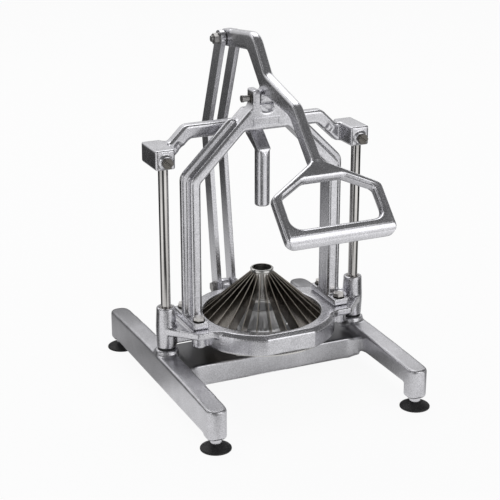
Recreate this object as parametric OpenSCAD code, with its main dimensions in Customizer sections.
// Blooming onion cutter: a cast lever press that drives a ring of blades down over an onion.
// Sizes are millimetres. Z is up, the operator stands on the -Y side, and the floor is at Z = 0.
// Heights and depths are first laid out from the plane of the two guide rods (Y = 0). The whole
// part is then moved along Y so that the origin lies under the middle of its outline.

/* [Stand] */
// How far a guide rod stands inside the middle of its leg
rod_inset = 3.3; // [2.5:0.1:4]
// Diameter of a guide rod
rod_d = 12.7; // [11:0.1:13.5]
// Height of the upper ends of the guide rods
rod_top = 328; // [327:0.5:340]
// Height of the floor of the rod sockets in the base
rod_seat = 38; // [36:1:44]
// Distance between the two legs, centre to centre
leg_spacing = 278.6; // [276:0.2:284]
// Width of a leg
leg_w = 26.5; // [25:0.5:30]
// Height of a leg's top at mid length
leg_top = 59; // [58:0.5:60]
// How much lower the leg's top lies at its ends
leg_drop = 4.5; // [2:0.5:7]
// Height of a leg's lower edge between the feet
leg_bottom = 18; // [17:0.5:20]
// How far a leg reaches past the centre of its foot
leg_overhang = 13; // [12:0.5:16]
// Length of the solid end over each foot
leg_column = 21; // [20:0.5:28]
// Height of the inner leg wall's lower edge
leg_arch = 32; // [28:1:36]
// Thickness of the cast walls of the base
base_wall = 6; // [5:0.5:7]
// Depth of the cross member, front to back
cross_d = 80; // [74:1:86]
// Height of the top of the cross member
cross_top = 50; // [48:0.5:52]
// Height of the lower edge of the cross member
cross_bottom = 20; // [18:0.5:22]
// Fillet between the cross member and the legs
cross_fillet = 22; // [14:1:28]
// Diameter of the boss that holds a rod
boss_d = 31; // [28:0.5:33]
// Height of the top of the rod boss
boss_top = 65.3; // [64:0.1:66]

/* [Feet] */
// Distance between the front and rear feet
foot_spread = 336; // [326:1:340]
// Diameter of a suction foot
foot_d = 39; // [34:0.5:42]
// Height of the rubber of a foot
foot_h = 9; // [8:0.5:11]
// Diameter of the metal neck of a foot
foot_neck_d = 14.2; // [12:0.2:16]
// Height of the leg's underside at a foot
foot_seat = 15; // [13:0.5:16.5]
// Diameter of the stud of a foot
foot_stud_d = 8; // [6:0.5:9]

/* [Carriage] */
// Thickness of the rubber bumper under a bushing barrel
bumper_t = 2.1; // [1:0.1:3]
// Outer diameter of a bushing barrel
barrel_d = 26; // [25:0.5:28]
// Length of a bushing barrel
barrel_h = 56; // [50:1:62]
// Outer diameter of a bushing
bushing_d = 18; // [16.5:0.5:20]
// Length of a bushing
bushing_h = 18; // [14:1:22]
// Bore of the blade ring at its upper lip
ring_bore = 156.8; // [150:0.4:158]
// Outer diameter of the blade ring
ring_d = 194; // [192:1:196]
// Height of the blade ring
ring_h = 26.6; // [24:0.2:30]
// How far the blade ring's underside lies above the barrels' lower ends
ring_lift = 3; // [2.5:0.1:4]
// Distance of the ring's front and rear flats from its axis
ring_flat = 91; // [90:0.5:93]
// Size of the chamfer round the ring's top
ring_chamfer = 5; // [3:0.5:6]
// Thickness of the ears that carry the arch
ear_t = 9; // [8:0.5:12]

/* [Blades] */
// Number of blades
blade_n = 24; // [12:1:24]
// Thickness of a blade
blade_t = 0.9; // [0.6:0.1:1.4]
// Height of a blade, measured upright
blade_h = 24; // [18:0.5:26]
// Height of the blades' upper edge at the core tube, over the ring's top
blade_rise = 54; // [48:0.5:56]
// Depth of the blades' upper edge at the ring, under the ring's top
blade_sink = 4; // [3:0.5:6]
// Outer diameter of the core tube
tube_d = 28; // [27:0.5:30]
// Wall of the core tube
tube_wall = 1.25; // [1:0.05:1.5]
// Height of the core tube's upper end over the ring's top
tube_rise = 59; // [57:0.5:62]
// Length of the core tube
tube_h = 43; // [38:0.5:46]
// Wall of the steel band that holds the blades' outer ends
band_wall = 1.95; // [1.5:0.05:2.5]
// Width of the flange under the band, outside the band
band_flange_w = 12.6; // [11:0.2:13.4]

/* [Arch] */
// Clear width between the posts of the arch
arch_clear = 182; // [180:0.5:184]
// Thickness of the arch, across its outline
arch_t = 13.6; // [12:0.2:15]
// Depth of the arch, front to back
arch_d = 31; // [28:0.5:33]
// Height of the outer rib of the arch
rib_h = 9; // [7:0.5:10]
// Thickness of the outer rib
rib_t = 9; // [7:0.5:12]
// Height of the flat underside at the top of the arch over the raised bar's underside
arch_over_bar = 11.5; // [11:0.5:14]
// Half width of the flat underside at the top of the arch
arch_flat = 30; // [26:0.5:34]
// Height of the lever pivot over the flat underside of the arch
pivot_rise = 40; // [38:0.5:43]
// Distance from the rods forward to the lever pivot
pivot_front = 5; // [4:0.5:6]
// Length of an arch foot, front to back
pad_l = 70; // [68:1:74]
// Width of an arch foot
pad_w = 22; // [20:0.5:23]
// Thickness of an arch foot
pad_t = 10; // [8:0.5:12]
// Distance between the two bolts of an arch foot
pad_bolts = 53; // [51:0.5:54]
// Thickness of a pivot ear
clevis_t = 10; // [8:0.2:11]
// Height of a pivot ear over the pivot
clevis_rise = 11.5; // [10:0.5:14]

/* [Crossbar] */
// Width of a rod clamp block
block_w = 26.5; // [25:0.5:28]
// Depth of a clamp block in front of the rod
block_front = 11; // [10:0.5:13]
// Depth of a clamp block behind the rod
block_rear = 41; // [38:0.5:43]
// Height of a clamp block
block_h = 25.5; // [25:0.5:28]
// Depth of a rod's end in its clamp block
block_grip = 20; // [17:0.5:22]
// Distance from the rods to the front of the raised bar
bar_front = 20; // [19:0.5:20.5]
// Thickness of the raised bar, front to back
bar_d = 16; // [14:0.5:16]
// Height of the raised bar's underside over the clamp blocks' underside
bar_rise = 27; // [25:0.5:30]
// Height of the raised bar
bar_h = 18; // [16:0.5:20]
// Half width of the raised stretch, along its underside
bar_half = 89.5; // [86:0.5:92]

/* [Ejector] */
// Diameter of the ejector post
post_d = 19.5; // [17:0.5:21]
// How far the post's lower end hangs under the raised bar
post_drop = 93; // [88:1:96]
// Width of the ejector arm
arm_w = 18.4; // [16:0.2:20]

/* [Seat] */
// Diameter of the rim of the onion seat
seat_d = 52; // [48:0.5:54]
// Height of the onion seat
seat_h = 53; // [46:0.5:54]
// Diameter of the hollow in the seat
seat_hole_d = 34; // [31:0.5:38]
// Depth of the hollow in the seat
seat_hole_h = 24; // [18:0.5:28]
// Diameter of the foot of the seat
seat_foot_d = 68; // [62:1:72]

/* [Lever] */
// Thickness of the lever
lever_t = 13; // [11:0.5:13.4]
// Radius of the lever's hub
hub_r = 10.5; // [10:0.5:11.5]
// Distance from the pivot back to the rear pin
rear_reach = 111; // [108:0.5:114]
// Height of the rear pin over the pivot
rear_rise = 54.5; // [52:0.5:57]
// Distance from the rods forward to the top of the handle plate
handle_y = 147.6; // [144:0.2:150]
// Height of the top of the handle plate under the pivot
handle_z = 35.1; // [33.5:0.1:37]
// Slope of the handle plate
handle_slope = 45; // [43:0.5:47]
// Thickness of the handle plate
handle_t = 16; // [14:0.5:18]
// Length of the handle plate along its slope
handle_l = 116; // [113:0.5:120]
// Half width of the handle
handle_half = 72; // [70:0.5:76]
// Width of the handle's side bars
handle_side = 11.5; // [10:0.5:13]
// Width of the grip bar
grip_w = 21.5; // [19:0.5:24]

/* [Links] */
// Width of a link
link_w = 21; // [19:0.5:22]
// Thickness of a link
link_t = 6.3; // [5:0.1:7]
// Gap between the lever's side and a link
link_gap = 1.3; // [1:0.1:1.6]
// Distance from the rods back to the lower link pivot
link_foot_y = 124.5; // [123:0.5:127]
// Height of the lower link pivot
link_foot_z = 86; // [84:0.5:88]
// Distance from the rods back to the bend of the links
link_bend_y = 157; // [154:0.5:160]
// Height of the bend of the links
link_bend_z = 308; // [302:1:314]

/* [Fasteners] */
// Diameter of the pivot pin and of the link bolts
pin_d = 8; // [7:0.2:8.4]
// Diameter of the casting bolts
bolt_d = 8; // [6:0.5:8]
// Width across the flats of a bolt head
bolt_af = 12.7; // [11:0.1:13]
// Height of a bolt head
bolt_head = 4.4; // [4:0.1:5]
// Thickness of a washer
washer_t = 1.2; // [1:0.1:1.4]

/* [Hidden] */
$fn = 72;
arc_steps = 6;

// Radial clearance of a running fit, and of a fit that stays put
run_fit = 0.05;
set_fit = 0.05;
// Clearance between a thread's end and its floor, and cut overrun
end_gap = 0.5;
over = 1;

leg_x = leg_spacing/2;
rod_x = leg_x - rod_inset;
foot_y = foot_spread/2;
leg_half = foot_y + leg_overhang;
leg_in = leg_x - leg_w/2;
leg_out = leg_x + leg_w/2;

barrel_z = boss_top + bumper_t;
barrel_top = barrel_z + barrel_h;
ring_z = barrel_z + ring_lift;
ring_top = ring_z + ring_h;
ring_r = ring_d/2;
bore_r = ring_bore/2;
lip_h = 4;
band_r = bore_r + band_wall;

tube_r = tube_d/2;
tube_top = ring_top + tube_rise;
tube_z = tube_top - tube_h;
crown_h = 5;
crown_over = 1.2;
band_flange_t = 2;
band_flange_r = band_r + band_flange_w;
band_screw_r = band_r + band_flange_w/2;
band_screw_d = 4;
band_screw_head = 2.4;
band_screw_l = 12;

pad_x = arch_clear/2 + pad_w/2 - 1;
pad_top = ring_top + pad_t;
bolt_y = pad_bolts/2;
bolt_l = 26;
bolt_boss_d = 20;
bolt_boss_z = ring_z + 1.5;

block_z = rod_top - block_grip;
bar_z = block_z + bar_rise;
arch_under = bar_z + arch_over_bar;
shoulder_z = arch_under - arch_clear/2 + arch_flat;
pivot_z = arch_under + pivot_rise;
pivot_y = -pivot_front;
clevis_in = lever_t/2 + 2.4;
clevis_out = clevis_in + clevis_t;
clevis_rear = 6;
hub_half = clevis_in - 0.5;
rear_y = pivot_y + rear_reach;
rear_z = pivot_z + rear_rise;

bar_rear = bar_front + bar_d;
clamp_z = block_z + 10.5;
clamp_boss_d = 17;
clamp_boss_l = 3;
post_z = bar_z - post_drop;

link_in = lever_t/2 + link_gap;
link_out = link_in + link_t;

hex_d = bolt_af/cos(30);
washer_d = bolt_af + 3;

// Moves the part along Y so that its outline is centred on the origin
handle_front = handle_y + handle_l*cos(handle_slope);
foot_rear = foot_y + foot_d/2;
frame_y = (handle_front - foot_rear)/2;

blade_names = [for (i = [1:blade_n]) str("blade_", i < 10 ? "0" : "", i)];

// Colours as they look on the object
cast_colour = [0.72, 0.73, 0.75];
steel_colour = [0.60, 0.61, 0.63];
blade_colour = [0.42, 0.39, 0.36];
rubber_colour = [0.06, 0.06, 0.07];
bush_colour = [0.50, 0.49, 0.48];

function unit(v) = v/norm(v);

// One rounded corner at b, as points on an arc of radius r that touches both edges
function corner(a, b, c, r) =
    let (u = unit(a - b), v = unit(c - b), half = acos(u*v)/2)
    let (centre = b + unit(u + v)*r/sin(half), first = b + u*r/tan(half) - centre)
    let (turn = sign(cross(u, v))*(180 - 2*half), start = atan2(first.y, first.x))
    [for (i = [0:arc_steps]) let (t = start - turn*i/arc_steps) centre + r*[cos(t), sin(t)]];

// Outline through points [x, y, radius], with an arc wherever the radius isn't zero
function rounded(path) =
    let (n = len(path), xy = [for (p = path) [p[0], p[1]]])
    [for (i = [0:n - 1]) each path[i][2] == 0 ? [xy[i]]
        : corner(xy[(i + n - 1)%n], xy[i], xy[(i + 1)%n], path[i][2])];

// The right half of an outline, followed by its mirror image
function both_sides(half) =
    concat(half, [for (i = [len(half) - 1:-1:0])
        [for (k = [0:len(half[i]) - 1]) k == 0 ? -half[i][k] : half[i][k]]]);

// Places every piece in the part's own frame
module placed() {
    translate([0, frame_y, 0])
        children();
}

// Turns a flat outline of (y, z) into a plate of thickness t, centred on X = x
module side_plate(x, t) {
    translate([x - t/2, 0, 0])
        rotate([90, 0, 90])
            linear_extrude(t)
                children();
}

// Turns a flat outline of (x, z) into a plate of depth t, centred on Y = 0
module front_plate(t) {
    translate([0, t/2, 0])
        rotate([90, 0, 0])
            linear_extrude(t)
                children();
}

// A round bar along X through (y, z), from x1 to x2
module x_bar(x1, x2, y, z, d) {
    translate([x1, y, z])
        rotate([0, 90, 0])
            cylinder(d = d, h = x2 - x1);
}

// A hexagon head along X
module x_hex(x1, x2, y, z) {
    translate([x1, y, z])
        rotate([0, 90, 0])
            cylinder(d = hex_d, h = x2 - x1, $fn = 6);
}

// A flat ring on Z
module ring(r_in, r_out, z1, z2) {
    translate([0, 0, z1])
        difference() {
            cylinder(r = r_out, h = z2 - z1);
            translate([0, 0, -over])
                cylinder(r = r_in, h = z2 - z1 + 2*over);
        }
}

// Copies for both sides, at -x and x
module at_both(x) {
    for (side = [-1, 1])
        translate([side*x, 0, 0])
            children();
}

// Copies at all four corners
module at_corners(x, y) {
    for (sx = [-1, 1], sy = [-1, 1])
        translate([sx*x, sy*y, 0])
            children();
}

// Side outline of a leg: humped top, lower ends over the feet, a cut rear corner
module leg_side() {
    steps = 16;
    top = [for (i = [0:steps])
        let (y = leg_half*(1 - 2*i/steps))
        [y, leg_top - leg_drop*pow(y/leg_half, 2)]];
    column = leg_half - leg_column;
    polygon(concat(top, [
        [-leg_half, foot_seat + 3], [-leg_half + 3, foot_seat], [-column, foot_seat],
        [-column + 3, leg_bottom], [column - 3, leg_bottom], [column, foot_seat],
        [leg_half - 7, foot_seat], [leg_half, foot_seat + 11]
    ]));
}

// One leg, with round ends in plan
module leg() {
    end_r = leg_w/2 - 1.5;
    intersection() {
        linear_extrude(leg_top)
            polygon(rounded(both_sides([
                [leg_w/2, -leg_half, end_r], [leg_w/2, leg_half, end_r]])));
        side_plate(0, leg_w)
            leg_side();
    }
}

// The hollow under a leg, open to the inside below the inner wall; in is -1 or 1 towards the middle
module leg_hollow(in) {
    length = 2*(leg_half - leg_column) - 2*over;
    inner_w = leg_w - 2*base_wall;
    roof = leg_top - leg_drop - base_wall - 2;
    translate([-inner_w/2, -length/2, -over])
        cube([inner_w, length, roof + over]);
    translate([in > 0 ? 0 : -leg_w/2 - over, -length/2, -over])
        cube([leg_w/2 + over, length, leg_arch + over]);
}

// The cross member: its top sweeps up to the legs, its lower edge is cut away beside them
module cross_member() {
    cut_w = 14;
    cut_z = leg_arch - 5;
    depth = cross_d + 2*cross_fillet;
    intersection() {
        linear_extrude(leg_top)
            cross_plan();
        front_plate(depth)
            polygon(rounded(both_sides([[leg_in - cut_w, cross_bottom, 0], [leg_in, cut_z, 0],
                [leg_in + over, cut_z, 0], [leg_in + over, leg_top - leg_drop, 0],
                [leg_in - 10, cross_top, 16]])));
    }
}

// Plan of the cross member with its fillets to the legs
module cross_plan() {
    square([2*leg_in + 2*over, cross_d], center = true);
    for (sx = [0, 1], sy = [0, 1])
        mirror([sx, 0])
            mirror([0, sy])
                translate([leg_in - cross_fillet, cross_d/2])
                    difference() {
                        square(cross_fillet + over/2);
                        translate([0, cross_fillet])
                            circle(cross_fillet);
                    }
}

// Rear arm of the base and the ear that the links are fixed to
module link_bracket() {
    arm_half = 20;
    ear_t2 = 2*link_in - 2*0.5;
    ear_r = link_w/2 - 0.5;
    translate([-arm_half, cross_d/2 - base_wall, cross_bottom])
        cube([2*arm_half, link_foot_y + ear_r - cross_d/2 + base_wall, cross_top - cross_bottom]);
    side_plate(0, ear_t2) {
        translate([link_foot_y, link_foot_z])
            circle(ear_r);
        polygon([[link_foot_y - ear_r, link_foot_z], [link_foot_y - 2.4*ear_r, cross_top - over],
            [link_foot_y + ear_r, cross_top - over], [link_foot_y + ear_r, link_foot_z]]);
    }
}

// The cast base: two legs, cross member, rod bosses and link bracket in one piece
module base_casting() {
    deck = 8;
    color(cast_colour)
        placed()
            difference() {
                union() {
                    at_both(leg_x)
                        leg();
                    cross_member();
                    at_both(rod_x)
                        translate([0, 0, rod_seat - deck])
                            cylinder(d = boss_d, h = boss_top - rod_seat + deck);
                    link_bracket();
                }
                base_hollows(deck);
                base_bores();
            }
}

// Everything cut from the underside of the base to keep its walls even
module base_hollows(deck) {
    pocket = (leg_in - boss_d/2)*2 - 4*base_wall;
    for (side = [-1, 1])
        difference() {
            translate([side*leg_x, 0, 0])
                leg_hollow(-side);
            translate([side*rod_x, 0, 0])
                cylinder(d = boss_d, h = leg_top);
        }
    translate([-pocket/2, -cross_d/2 + base_wall, -over])
        cube([pocket, cross_d - 2*base_wall, cross_top - deck + over]);
    translate([-20 + base_wall, cross_d/2 + base_wall, -over])
        cube([40 - 2*base_wall, link_foot_y - cross_d/2 - 2*base_wall, cross_top - deck + over]);
}

// Sockets for the rods, screws and studs of the base
module base_bores() {
    at_both(rod_x) {
        translate([0, 0, rod_seat])
            cylinder(d = rod_d + 2*set_fit, h = boss_top);
        translate([0, 0, -over])
            cylinder(d = bolt_d + 2*set_fit, h = rod_seat + 2*over);
        translate([0, 0, -over])
            cylinder(d = washer_d + 2, h = rod_seat - 8 + over);
    }
    translate([0, 0, cross_bottom])
        cylinder(d = bolt_d + 2*set_fit, h = cross_top);
    at_corners(leg_x, foot_y)
        translate([0, 0, foot_seat - over])
            cylinder(d = foot_stud_d + 2*set_fit, h = stud_up + end_gap + over);
    x_bar(-link_out, link_out, link_foot_y, link_foot_z, pin_d + 2*set_fit);
}

stud_up = 20;
stud_down = 4.5;

// Rubber suction foot: a flat sealing rim round a shallow hollow
module foot(sx, sy) {
    r = foot_d/2;
    rim = 5.5;
    neck_r = foot_neck_d/2 + 1.2;
    hollow = 2.4;
    stud_r = foot_stud_d/2 + set_fit;
    color(rubber_colour)
        placed()
            translate([sx*leg_x, sy*foot_y, 0])
                rotate_extrude()
                    polygon([[r, 0], [r, 1.6], [r - 1, 2.6], [neck_r + 3, foot_h - 2.2],
                        [neck_r, foot_h - 0.8], [neck_r - 0.8, foot_h], [stud_r, foot_h],
                        [stud_r, foot_h - stud_down - 0.1], [0, foot_h - stud_down - 0.1],
                        [0, hollow], [(r - rim)*0.6, hollow*0.8], [r - rim, 0]]);
}

// Four studs with their collars, between the feet and the legs
module foot_studs() {
    color(cast_colour)
        placed()
            at_corners(leg_x, foot_y) {
                translate([0, 0, foot_h])
                    cylinder(d = foot_neck_d, h = foot_seat - foot_h);
                translate([0, 0, foot_h - stud_down])
                    cylinder(d = foot_stud_d, h = stud_down + foot_seat - foot_h + stud_up);
            }
}

rod_thread = 26;

// Ground steel rod with a tapped lower end
module guide_rod(side) {
    bevel = 0.8;
    r = rod_d/2;
    color(steel_colour)
        placed()
            translate([side*rod_x, 0, 0])
                rotate_extrude()
                    polygon([[bolt_d/2 + set_fit, rod_seat], [r, rod_seat], [r, rod_top - bevel],
                        [r - bevel, rod_top], [0, rod_top], [0, rod_seat + rod_thread],
                        [bolt_d/2 + set_fit, rod_seat + rod_thread]]);
}

// Screws that draw the rods down into the base from below
module rod_base_screws() {
    floor_z = rod_seat - 8;
    color(steel_colour)
        placed()
            at_both(rod_x) {
                translate([0, 0, floor_z - washer_t])
                    cylinder(d = washer_d, h = washer_t);
                translate([0, 0, floor_z - washer_t - bolt_head])
                    cylinder(d = hex_d, h = bolt_head, $fn = 6);
                translate([0, 0, floor_z - washer_t])
                    cylinder(d = bolt_d, h = washer_t + 8 + rod_thread - end_gap);
            }
}

// Rubber ring that the bushing barrel lands on
module bumper(side) {
    color(rubber_colour)
        placed()
            translate([side*rod_x, 0, 0])
                ring(rod_d/2 + 0.1, barrel_d/2 - 1.2, boss_top, barrel_z);
}

// Front outline of the crossbar, from one clamp block over the raised bar to the other
module bar_outline() {
    in_x = rod_x - block_w/2;
    polygon(rounded(both_sides([
        [in_x + over, block_z + 0.5, 0], [in_x + over, block_z + block_h - 0.5, 0],
        [in_x - 6, block_z + block_h - 0.5, 5], [bar_half + 7, bar_z + bar_h, 12]
    ])));
}

// The space under the raised bar
module bar_under() {
    foot_x = rod_x - block_w/2 - 3.5;
    polygon(rounded(both_sides([[foot_x, block_z - over, 0], [bar_half, bar_z, 9]])));
}

// The cast crossbar: clamp blocks on the rods, joined by a raised bar behind them
module crossbar() {
    recess = 5.5;
    recess_x = bar_half + 17;
    color(cast_colour)
        placed()
            difference() {
                union() {
                    at_both(rod_x) {
                        translate([0, 0, block_z])
                            linear_extrude(block_h)
                                polygon(rounded(both_sides([
                                    [block_w/2, -block_front, 4], [block_w/2, block_rear, 3]])));
                        translate([0, -block_front - clamp_boss_l, clamp_z])
                            rotate([-90, 0, 0])
                                cylinder(d = clamp_boss_d, h = clamp_boss_l + over);
                    }
                    translate([0, bar_front + bar_d/2, 0])
                        front_plate(bar_d)
                            difference() {
                                bar_outline();
                                bar_under();
                            }
                }
                at_both(rod_x) {
                    translate([0, 0, block_z - over])
                        cylinder(d = rod_d + 2*set_fit, h = block_grip + end_gap + over);
                    translate([0, -block_front - clamp_boss_l - over, clamp_z])
                        rotate([-90, 0, 0])
                            cylinder(d = bolt_d + 2*set_fit, h = block_front + clamp_boss_l + over);
                }
                at_both(recess_x)
                    translate([0, bar_front + 0.5, bar_z - 7.3])
                        rotate([0, 45, 0])
                            cube([recess, 3, recess], center = true);
                translate([0, bar_front + 6, bar_z - over])
                    cylinder(d = bolt_d + 2*set_fit, h = bar_h + 2*over);
            }
}

// Hexagon screws that clamp the crossbar to the rods
module clamp_screws() {
    face = -block_front - clamp_boss_l;
    tip = -rod_d/2 - set_fit;
    slot_turn = 40;
    color(steel_colour)
        placed()
            at_both(rod_x)
                translate([0, face, clamp_z])
                    rotate([-90, 0, 0]) {
                        difference() {
                            translate([0, 0, -bolt_head - 2])
                                cylinder(d = hex_d, h = bolt_head + 2, $fn = 6);
                            rotate([0, 0, slot_turn])
                                translate([-hex_d, -0.9, -bolt_head - 2 - over])
                                    cube([2*hex_d, 1.8, 2 + over]);
                        }
                        translate([0, 0, -over])
                            cylinder(d = bolt_d, h = tip - face + over);
                    }
}

// Arm under the crossbar and the round post that pushes the core out of the tube
module ejector() {
    r = post_d/2;
    arm_foot = post_drop - 17.5;
    color(cast_colour)
        placed()
            difference() {
                union() {
                    translate([0, 0, post_z])
                        cylinder(d = post_d, h = arm_foot);
                    side_plate(0, arm_w)
                        polygon([[bar_front, bar_z], [bar_front, bar_z + 7], [-r + 1, bar_z - 17],
                            [-r + 1, bar_z - 19], [r - 4, bar_z - 19],
                            [bar_front + bar_d - 3, bar_z - 5], [bar_front + bar_d - 3, bar_z]]);
                }
                translate([0, bar_front + 6, bar_z - 14])
                    cylinder(d = bolt_d + 2*set_fit, h = 14 + over);
            }
}

// Bolt that holds the ejector arm under the crossbar
module ejector_bolt() {
    color(steel_colour)
        placed()
            translate([0, bar_front + 6, bar_z]) {
                translate([0, 0, bar_h])
                    cylinder(d = washer_d - 2, h = washer_t);
                translate([0, 0, bar_h + washer_t])
                    cylinder(d = hex_d, h = bolt_head, $fn = 6);
                translate([0, 0, -9])
                    cylinder(d = bolt_d, h = bar_h + washer_t + 9);
            }
}

// Turned seat that the onion stands on
module onion_seat() {
    r = seat_d/2;
    hole_r = seat_hole_d/2;
    foot_r = seat_foot_d/2;
    screw_r = bolt_d/2 + set_fit;
    top = cross_top + seat_h;
    color(cast_colour)
        placed()
            rotate_extrude()
                polygon([[screw_r, cross_top], [foot_r, cross_top], [foot_r, cross_top + 5],
                    [foot_r - 2, cross_top + 7], [r + 4, cross_top + 9], [r, top - 4], [r, top],
                    [r - 2.5, top], [hole_r, top - 4], [hole_r, top - seat_hole_h],
                    [screw_r, top - seat_hole_h]]);
}

// Screw that holds the seat, put in from below the cross member
module seat_screw() {
    deck_z = cross_top - 8;
    color(steel_colour)
        placed() {
            translate([0, 0, deck_z - washer_t])
                cylinder(d = washer_d, h = washer_t);
            translate([0, 0, deck_z - washer_t - bolt_head])
                cylinder(d = hex_d, h = bolt_head, $fn = 6);
            translate([0, 0, deck_z - washer_t])
                cylinder(d = bolt_d, h = washer_t + 8 + seat_h - seat_hole_h - 3);
        }
}

// Plan of one ear of the blade ring, from the ring out to the bushing barrel
module ear_plan() {
    barrel_r = barrel_d/2;
    pad_out = pad_x + pad_w/2;
    pad_end = pad_l/2;
    front = [[ring_r*0.6, -ring_r*0.62, 0], [pad_x - pad_w/2 - 1, -pad_end - 12.5, 2],
        [pad_out - 1.5, -pad_end - 11.5, 3], [rod_x + barrel_r*0.46, -barrel_r*0.88, 0]];
    rear = [for (i = [len(front) - 1:-1:0]) [front[i][0], -front[i][1], front[i][2]]];
    polygon(rounded(concat(front, rear)));
}

// Plan of the shallow hollow in an ear, between the arch's foot and the barrel
module ear_hollow() {
    near = pad_x + pad_w/2 + 1.5;
    far = rod_x - 5;
    polygon([[near, -pad_l/2 - 1], [far, -barrel_d/2 - 3.5], [far, barrel_d/2 + 3.5],
        [near, pad_l/2 + 1]]);
}

// A bushing barrel, thickest where the ear meets it
module barrel() {
    r = barrel_d/2;
    rotate_extrude()
        polygon([[0, barrel_z], [r - 0.5, barrel_z], [r + 0.4, ring_top - ear_t],
            [r + 0.4, ring_top], [r - 0.7, barrel_top - 1.5], [r - 2.2, barrel_top],
            [0, barrel_top]]);
}

// The cast blade ring with its ears and bushing barrels
module blade_ring() {
    gusset_t = 10;
    hollow = 2.6;
    color(cast_colour)
        placed()
            difference() {
                union() {
                    ring_body();
                    for (side = [0, 1])
                        mirror([side, 0, 0]) {
                            difference() {
                                translate([0, 0, ring_top - ear_t])
                                    linear_extrude(ear_t)
                                        ear_plan();
                                translate([0, 0, ring_top - hollow])
                                    linear_extrude(ear_t)
                                        ear_hollow();
                            }
                            translate([rod_x, 0, 0])
                                barrel();
                            translate([ring_r - 6, -gusset_t/2, ring_z])
                                cube([rod_x - ring_r, gusset_t, ring_h - 3]);
                        }
                    at_corners(pad_x, bolt_y)
                        translate([0, 0, bolt_boss_z])
                            cylinder(d = bolt_boss_d, h = ring_top - bolt_boss_z);
                }
                translate([0, 0, ring_z - over])
                    cylinder(r = bore_r, h = ring_h + 2*over);
                translate([0, 0, ring_z - over])
                    cylinder(r = band_r + set_fit, h = ring_h - lip_h + over);
                ring_holes();
            }
}

// The round ring with its top chamfer and its two flats
module ring_body() {
    c = ring_chamfer;
    difference() {
        translate([0, 0, ring_z])
            rotate_extrude()
                polygon([[bore_r - over, 0], [ring_r, 0], [ring_r, ring_h - c],
                    [ring_r - c, ring_h], [bore_r - over, ring_h]]);
        for (turn = [0, 180])
            rotate([0, 0, turn]) {
                translate([-ring_r, -ring_r - over, ring_z - over])
                    cube([2*ring_r, ring_r + over - ring_flat, ring_h + 2*over]);
                translate([-ring_r, -ring_flat, ring_top - c])
                    rotate([45, 0, 0])
                        translate([0, -2*c, 0])
                            cube([2*ring_r, 4*c, 4*c]);
            }
    }
}

// Bores for the bushings, the rods and the bolts of the blade ring
module ring_holes() {
    at_both(rod_x) {
        translate([0, 0, barrel_z - over])
            cylinder(d = bushing_d + 2*set_fit, h = bushing_h + over);
        translate([0, 0, barrel_top - bushing_h])
            cylinder(d = bushing_d + 2*set_fit, h = bushing_h + over);
        translate([0, 0, barrel_z])
            cylinder(d = rod_d + 1.6, h = barrel_h);
    }
    at_corners(pad_x, bolt_y)
        translate([0, 0, pad_top - bolt_l - end_gap])
            cylinder(d = bolt_d + 2*set_fit, h = bolt_l);
    for (turn = [45:90:315])
        rotate([0, 0, turn])
            translate([band_screw_r, 0, ring_z - over])
                cylinder(d = band_screw_d + 2*set_fit, h = band_screw_l + over);
}

// Plain bushing that runs on a guide rod
module bushing(side, upper) {
    z = upper ? barrel_top - bushing_h : barrel_z;
    color(bush_colour)
        placed()
            translate([side*rod_x, 0, 0])
                ring(rod_d/2 + run_fit, bushing_d/2, z, z + bushing_h);
}

// Main outline of the arch: posts, 45 degree shoulders and the plate under the pivot
module arch_web() {
    in_x = arch_clear/2;
    out_x = in_x + arch_t;
    out_z = shoulder_z + arch_t*tan(22.5);
    top_z = pivot_z - hub_r - 4;
    difference() {
        polygon(rounded(both_sides([
            [out_x, pad_top - over, 0], [out_x, out_z, 12], [out_x + out_z - top_z, top_z, 4]])));
        polygon(rounded(both_sides([
            [in_x, pad_top - 2*over, 0], [in_x, shoulder_z, 5], [arch_flat, arch_under, 4]])));
    }
}

// Outline of the thinner rib that stiffens the arch on its outside
module arch_rib() {
    in_x = arch_clear/2 + over;
    out_x = arch_clear/2 + arch_t + rib_h;
    out_z = shoulder_z + (arch_t + rib_h)*tan(22.5);
    end_x = clevis_out + 22;
    end_z = out_x + out_z - end_x - 4;
    difference() {
        polygon(rounded(both_sides([
            [out_x, pad_top - over, 0], [out_x, out_z, 16], [end_x + 5, out_x + out_z - end_x - 5, 6],
            [clevis_out + 1, end_z - 9, 3]])));
        polygon(both_sides([[in_x, pad_top - 2*over], [in_x, shoulder_z],
            [arch_flat, shoulder_z + in_x - arch_flat]]));
    }
}

// Front outline of the two pivot ears before the slot between them is cut
module ear_pair() {
    foot_z = arch_clear/2 + arch_t + shoulder_z + arch_t*tan(22.5) - clevis_out;
    polygon(rounded(both_sides([
        [clevis_out + 15, foot_z - 16, 0], [clevis_out, foot_z, 12],
        [clevis_out, pivot_z + clevis_rise, 1.5]])));
}

// The cast arch that carries the lever, bolted to the ears of the blade ring
module arch_frame() {
    slot_z = pivot_z - hub_r - 7 + clevis_in;
    color(cast_colour)
        placed()
            difference() {
                union() {
                    front_plate(arch_d)
                        arch_web();
                    front_plate(rib_t)
                        arch_rib();
                    at_both(pad_x)
                        translate([-pad_w/2, -pad_l/2, ring_top])
                            cube([pad_w, pad_l, pad_t]);
                    translate([0, clevis_rear/2 - arch_d/4, 0])
                        front_plate(clevis_rear + arch_d/2)
                            ear_pair();
                }
                translate([-clevis_in, -arch_d/2 - over, slot_z])
                    cube([2*clevis_in, arch_d + 2*over, clevis_rise + hub_r + 12]);
                translate([0, arch_d/2 + over, slot_z])
                    rotate([90, 0, 0])
                        cylinder(r = clevis_in, h = arch_d + 2*over);
                x_bar(-clevis_out - 15, clevis_out + 15, pivot_y, pivot_z, pin_d + 2*set_fit);
                at_corners(pad_x, bolt_y)
                    translate([0, 0, ring_top - over])
                        cylinder(d = bolt_d + 2*set_fit, h = pad_t + 2*over);
            }
}

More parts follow.
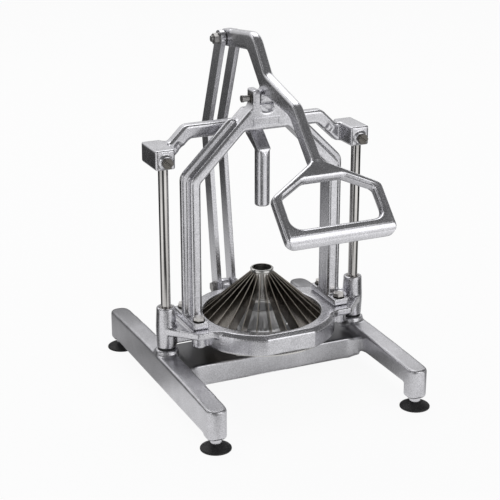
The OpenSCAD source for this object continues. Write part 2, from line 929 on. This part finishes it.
// Four bolts with washers that hold the arch's feet
module arch_bolts() {
    color(steel_colour)
        placed()
            at_corners(pad_x, bolt_y) {
                translate([0, 0, pad_top])
                    cylinder(d = washer_d, h = washer_t);
                translate([0, 0, pad_top + washer_t])
                    cylinder(d = hex_d, h = bolt_head, $fn = 6);
                translate([0, 0, pad_top - bolt_l])
                    cylinder(d = bolt_d, h = bolt_l + washer_t);
            }
}

// Steel tube that cuts out the core, with a thicker crown
module core_tube() {
    crown_r = tube_r + crown_over;
    bore = tube_r - tube_wall;
    color(steel_colour)
        placed()
            rotate_extrude()
                polygon([[bore, tube_z], [bore + 0.3, tube_z], [tube_r, tube_z + 4],
                    [tube_r, tube_top - crown_h], [crown_r, tube_top - crown_h + crown_over],
                    [crown_r, tube_top - 1], [crown_r - 1, tube_top], [bore, tube_top]]);
}

// Steel band with a flange, which holds the outer ends of the blades in the ring
module blade_band() {
    color(steel_colour)
        placed()
            difference() {
                rotate_extrude()
                    polygon([[bore_r, ring_z - band_flange_t],
                        [band_flange_r, ring_z - band_flange_t], [band_flange_r, ring_z],
                        [band_r, ring_z], [band_r, ring_top - lip_h - set_fit],
                        [bore_r, ring_top - lip_h - set_fit]]);
                for (turn = [45:90:315])
                    rotate([0, 0, turn])
                        translate([band_screw_r, 0, ring_z - band_flange_t - over])
                            cylinder(d = band_screw_d + 2*set_fit, h = band_flange_t + over + 0.5);
            }
}

// Pan head screws that hold the band's flange under the ring
module band_screws() {
    color(steel_colour)
        placed()
            for (turn = [45:90:315])
                rotate([0, 0, turn])
                    translate([band_screw_r, 0, ring_z - band_flange_t]) {
                        translate([0, 0, -band_screw_head])
                            cylinder(d = 2*band_screw_d, h = band_screw_head);
                        cylinder(d = band_screw_d, h = band_flange_t + band_screw_l - end_gap);
                    }
}

// One blade: a thin upright plate from the core tube out to the band
module blade(i) {
    r_in = tube_r + set_fit;
    r_out = bore_r - set_fit;
    z_in = ring_top + blade_rise;
    z_out = ring_top - blade_sink;
    slope = (z_in - z_out)/(bore_r - tube_r);
    edge_h = 3;
    color(blade_colour)
        placed()
            rotate([0, 0, -90 + (i - 1)*360/blade_n])
                intersection() {
                    translate([0, blade_t/2, 0])
                        rotate([90, 0, 0])
                            linear_extrude(blade_t)
                                polygon([[tube_r - over, z_in + slope*over],
                                    [bore_r + over, z_out - slope*over],
                                    [bore_r + over, z_out - slope*over - blade_h],
                                    [tube_r - over, z_in + slope*over - blade_h]]);
                    ring(r_in, r_out, ring_z - band_flange_t, ring_top + blade_rise + edge_h);
                }
}

// Pin that the lever turns on, with a head at one end
module pivot_pin() {
    tip = clevis_out + 12.5;
    groove_x = -clevis_out - 1.7;
    color(steel_colour)
        placed()
            difference() {
                union() {
                    x_bar(-tip, clevis_out, pivot_y, pivot_z, pin_d);
                    x_bar(clevis_out, clevis_out + 3, pivot_y, pivot_z, pin_d + 2.6);
                    x_bar(-tip, -tip + 3, pivot_y, pivot_z, pin_d + 1.2);
                }
                difference() {
                    x_bar(groove_x, groove_x + 1.2, pivot_y, pivot_z, pin_d + 1);
                    x_bar(groove_x - over, groove_x + 2*over + 1, pivot_y, pivot_z, pin_d - 1.6);
                }
            }
}

// Open ring that keeps the pivot pin in its ears
module pivot_clip() {
    x = -clevis_out - 1.65;
    color(steel_colour)
        placed()
            difference() {
                x_bar(x, x + 1.1, pivot_y, pivot_z, pin_d + 5);
                x_bar(x - over, x + 1.1 + over, pivot_y, pivot_z, pin_d - 1.6 + 2*set_fit);
                translate([x - over, pivot_y - 1.6, pivot_z - pin_d])
                    cube([1.1 + 2*over, 3.2, pin_d]);
            }
}

// Side outline of the lever: rear arm, swan neck and the arm down to the handle
module lever_side() {
    knee_y = 101;
    proud = 0.7;
    knee_z = pivot_z - handle_z + (handle_y - knee_y)*tan(handle_slope) + proud;
    arm_y = handle_y + 8.5;
    arm_z = pivot_z - handle_z - 8.5*tan(handle_slope) + proud;
    depth = 22;
    back = depth*[sin(handle_slope), -cos(handle_slope)];
    polygon(rounded([
        [rear_y + 12, rear_z + 10.5, 10], [16.8, rear_z + 23.4, 25],
        [-19, pivot_z + 32.3, 20], [-knee_y, knee_z, 20], [-arm_y, arm_z, 0],
        [-arm_y + back.x, arm_z + back.y, 0], [-88, pivot_z - 6.7, 25],
        [-7.4, pivot_z + 5.8, 0], [35, rear_z - 3, 12], [rear_y + 12, rear_z - 12, 10]]));
}

// Plan of the handle plate, x across and y down the slope
module handle_plan() {
    side_in = handle_half - handle_side;
    neck = lever_t/2 - 1;
    difference() {
        polygon(rounded(both_sides([
            [neck, -9, 0], [neck, 9, 14], [handle_half, 49.5, 10],
            [handle_half, handle_l, 12]])));
        polygon(rounded(both_sides([
            [26, 34.5, 12], [side_in, 53.5, 8], [side_in, handle_l - grip_w, 14]])));
    }
}

// The cast lever with its D handle
module lever() {
    bush_d = pin_d + 4;
    color(cast_colour)
        placed()
            difference() {
                union() {
                    side_plate(0, lever_t)
                        lever_side();
                    x_bar(-hub_half, hub_half, pivot_y, pivot_z, 2*hub_r);
                    translate([0, -handle_y, pivot_z - handle_z])
                        rotate([180 + handle_slope, 0, 0])
                            linear_extrude(handle_t)
                                handle_plan();
                }
                x_bar(-lever_t, lever_t, pivot_y, pivot_z, bush_d + 2*set_fit);
                x_bar(-lever_t, lever_t, rear_y, rear_z, pin_d + 2*run_fit);
            }
}

// Bush pressed into the lever's hub
module lever_bush() {
    color(bush_colour)
        placed()
            difference() {
                x_bar(-hub_half, hub_half, pivot_y, pivot_z, pin_d + 4);
                x_bar(-lever_t, lever_t, pivot_y, pivot_z, pin_d + 2*run_fit);
            }
}

// A straight flat bar of width w between two points
module flat_bar(a, b, w) {
    d = b - a;
    translate(a)
        rotate(atan2(d.y, d.x))
            translate([0, -w/2])
                square([norm(d), w]);
}

// One bent link beside the lever, from the rear pin to the bracket on the base
module link(side) {
    top = [rear_y, rear_z];
    bend = [link_bend_y, link_bend_z];
    foot = [link_foot_y, link_foot_z];
    color(cast_colour)
        placed()
            difference() {
                side_plate(side*(link_in + link_t/2), link_t) {
                    flat_bar(top, bend, link_w);
                    flat_bar(bend, foot, link_w);
                    for (p = [top, bend, foot])
                        translate(p)
                            circle(d = link_w);
                }
                x_bar(-link_out - over, link_out + over, rear_y, rear_z, pin_d + 2*set_fit);
                x_bar(-link_out - over, link_out + over, link_foot_y, link_foot_z,
                    pin_d + 2*set_fit);
            }
}

// Bolt, nut and outer washers that join the links to the lever
module rear_bolt() {
    face = link_out + washer_t;
    nut = 6.5;
    color(steel_colour)
        placed() {
            x_bar(-face - nut - 3, face, rear_y, rear_z, pin_d);
            x_hex(face, face + bolt_head, rear_y, rear_z);
            x_hex(-face - nut, -face, rear_y, rear_z);
            for (x = [link_out, -face])
                x_bar(x, x + washer_t, rear_y, rear_z, washer_d);
        }
}

// Thin washers between the lever and the links
module rear_washers() {
    play = 0.1;
    color(steel_colour)
        placed()
            for (side = [0, 1])
                mirror([side, 0, 0])
                    difference() {
                        x_bar(lever_t/2 + play, link_in, rear_y, rear_z, washer_d);
                        x_bar(0, link_out, rear_y, rear_z, pin_d + 2*set_fit);
                    }
}

// Shoulder screws at the lower ends of the links
module link_screws() {
    color(steel_colour)
        placed()
            for (side = [0, 1])
                mirror([side, 0, 0]) {
                    x_bar(link_in, link_out, link_foot_y, link_foot_z, pin_d);
                    x_bar(link_out, link_out + washer_t, link_foot_y, link_foot_z, washer_d);
                    x_hex(link_out + washer_t, link_out + washer_t + bolt_head,
                        link_foot_y, link_foot_z);
                }
}

base_casting();
foot(-1, -1);  // foot_front_left
foot(1, -1);  // foot_front_right
foot(-1, 1);  // foot_rear_left
foot(1, 1);  // foot_rear_right
foot_studs();
guide_rod(-1);  // guide_rod_left
guide_rod(1);  // guide_rod_right
rod_base_screws();
bumper(-1);  // bumper_left
bumper(1);  // bumper_right
crossbar();
clamp_screws();
ejector();
ejector_bolt();
onion_seat();
seat_screw();
blade_ring();
bushing(-1, false);  // bushing_left_lower
bushing(-1, true);  // bushing_left_upper
bushing(1, false);  // bushing_right_lower
bushing(1, true);  // bushing_right_upper
arch_frame();
arch_bolts();
core_tube();
blade_band();
band_screws();
pivot_pin();
pivot_clip();
lever();
lever_bush();
link(-1);  // link_left
link(1);  // link_right
rear_bolt();
rear_washers();
link_screws();
for (i = [1:blade_n])
    blade(i);
